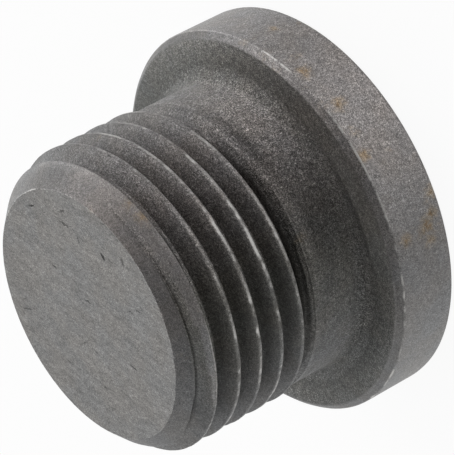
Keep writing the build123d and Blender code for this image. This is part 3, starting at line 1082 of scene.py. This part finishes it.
def floor_material(floor_color):
    """Pale floor that looks white to the camera and in the metal, keeps part of the shadow, and is clear
    from below"""
    material = bpy.data.materials.new("pale_floor")
    material.use_nodes = True
    wires = Wires(material.node_tree)
    wires.tree.nodes.clear()
    path = wires.node("LightPath").outputs
    seen = wires.math("MAXIMUM", path["Is Camera Ray"], path["Is Glossy Ray"])
    seen = wires.math("MAXIMUM", seen, path["Is Transmission Ray"])
    matte = wires.node("BsdfDiffuse", {"Color": (*floor_color, 1)}).outputs[0]
    white = wires.node("Emission", {"Color": (1, 1, 1, 1), "Strength": 1.0}).outputs[0]
    above = wires.node("MixShader", {0: wires.product(seen, FLOOR_GLOW), 1: matte, 2: white}).outputs[0]
    clear = wires.node("BsdfTransparent").outputs[0]
    from_below = wires.node("NewGeometry").outputs["Backfacing"]
    surface = wires.node("MixShader", {0: from_below, 1: above, 2: clear}).outputs[0]
    wires.node("OutputMaterial", {"Surface": surface})
    return material


# ---------------------------------------------------------------- operators

class PLUG_OT_build_body(bpy.types.Operator):
    """Build the screw plug"""

    bl_idname = "plug.build_body"
    bl_label = "Build plug"

    def execute(self, context):
        scene = context.scene
        form, wear = PlugForm(scene.plug_sizes), scene.plug_wear
        mesh = PlugMesh()
        neck_end = collar_and_neck(mesh, form, wear, socket(mesh, form))
        low, high = Thread(mesh, form, wear).build()
        mesh.chain([neck_end, low], THREAD)
        end_face(mesh, form, wear, high)
        body = mesh.make("screw_plug", scene.plug_finish, form.collar_radius)
        for material in plug_materials(scene.plug_finish):
            body.data.materials.append(material)
        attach(body, "root")
        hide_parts(NODE)
        return {"FINISHED"}


class PLUG_OT_build_stage(bpy.types.Operator):
    """Build the floor, the surroundings and the camera"""

    bl_idname = "plug.build_stage"
    bl_label = "Build studio"

    def execute(self, context):
        scene = context.scene
        studio = scene.plug_studio
        add_floor(scene, studio)
        add_world(scene, studio)
        add_camera(scene, studio)
        scene.view_settings.view_transform = "Standard"
        return {"FINISHED"}


def add_floor(scene, studio):
    """Square floor just under the plug"""
    half, level = studio.floor_size / 2, -FLOOR_GAP
    mesh = bpy.data.meshes.new("floor")
    corners = [(-half, -half, level), (half, -half, level), (half, half, level), (-half, half, level)]
    mesh.from_pydata(corners, [], [(0, 1, 2, 3)])
    floor = bpy.data.objects.new("floor", mesh)
    scene.collection.objects.link(floor)
    floor.data.materials.append(floor_material(studio.floor_color))


def add_world(scene, studio):
    """Soft surroundings, brighter on one side, that the camera sees as plain white"""
    world = bpy.data.worlds.new("studio")
    world.use_nodes = True
    wires = Wires(world.node_tree)
    way = wires.node("TexCoord").outputs["Generated"]

    def lobe(turn, height, power, strength):
        """Light that comes mostly from one side"""
        flat = math.cos(height)
        aim = (flat * math.cos(turn), flat * math.sin(turn), math.sin(height))
        toward = wires.vector("DOT_PRODUCT", way, aim, output="Value")
        return wires.product(wires.math("POWER", wires.math("MAXIMUM", toward, 0.0), power), strength)

    light = wires.total(lobe(studio.light_angle, studio.light_height, LIGHT_FOCUS, studio.light_strength),
                        lobe(studio.fill_angle, studio.fill_height, FILL_FOCUS, studio.fill_strength),
                        studio.ambient)
    seen = wires.node("LightPath").outputs["Is Camera Ray"]
    unseen = wires.product(light, wires.math("SUBTRACT", 1.0, seen))
    background = wires.tree.nodes["Background"].inputs
    wires.feed(background["Color"], (1, 1, 1, 1))
    wires.feed(background["Strength"], wires.total(unseen, seen))
    scene.world = world


def add_camera(scene, studio):
    """Camera over x = 0 that looks at the thread end from one side, with the picture turned"""
    aim = Vector((studio.camera_aim_out, 0, studio.camera_aim_up))
    back = Vector((-studio.camera_aim_out / studio.camera_distance, -math.sin(studio.camera_tilt),
                   math.cos(studio.camera_tilt))).normalized()
    right = Vector((0, 0, 1)).cross(back).normalized()
    axes = Matrix((right, back.cross(right), back)).transposed()
    data = bpy.data.cameras.new("camera")
    data.lens = studio.lens
    data.sensor_width = SENSOR_WIDTH
    data.clip_start = CLIP_START
    camera = bpy.data.objects.new("camera", data)
    camera.matrix_world = (Matrix.Translation(aim + back * studio.camera_distance)
                           @ (axes @ Matrix.Rotation(-studio.camera_roll, 3, "Z")).to_4x4())
    scene.collection.objects.link(camera)
    scene.camera = camera


class PLUG_PT_panel(bpy.types.Panel):
    """Screw plug"""

    bl_idname = "PLUG_PT_panel"
    bl_label = "Screw plug"
    bl_space_type = "VIEW_3D"
    bl_region_type = "UI"
    bl_category = "Screw plug"

    def draw(self, context):
        layout = self.layout
        for key, settings in SETTINGS.items():
            for field in settings.__annotations__:
                layout.prop(getattr(context.scene, key), field)
        layout.operator(PLUG_OT_build_body.bl_idname)
        layout.operator(PLUG_OT_build_stage.bl_idname)


SETTINGS = {
    "plug_sizes": PlugSizes, "plug_wear": PlugWear, "plug_finish": PlugFinish, "plug_studio": StudioSettings,
}
CLASSES = (*SETTINGS.values(), PLUG_OT_build_body, PLUG_OT_build_stage, PLUG_PT_panel)


def register():
    for cls in CLASSES:
        bpy.utils.register_class(cls)
    for key, cls in SETTINGS.items():
        setattr(bpy.types.Scene, key, bpy.props.PointerProperty(type=cls))


def unregister():
    for key in SETTINGS:
        delattr(bpy.types.Scene, key)
    for cls in reversed(CLASSES):
        bpy.utils.unregister_class(cls)


def main():
    register()
    bpy.ops.plug.build_body()
    bpy.ops.plug.build_stage()


if __name__ == "__main__":
    main()
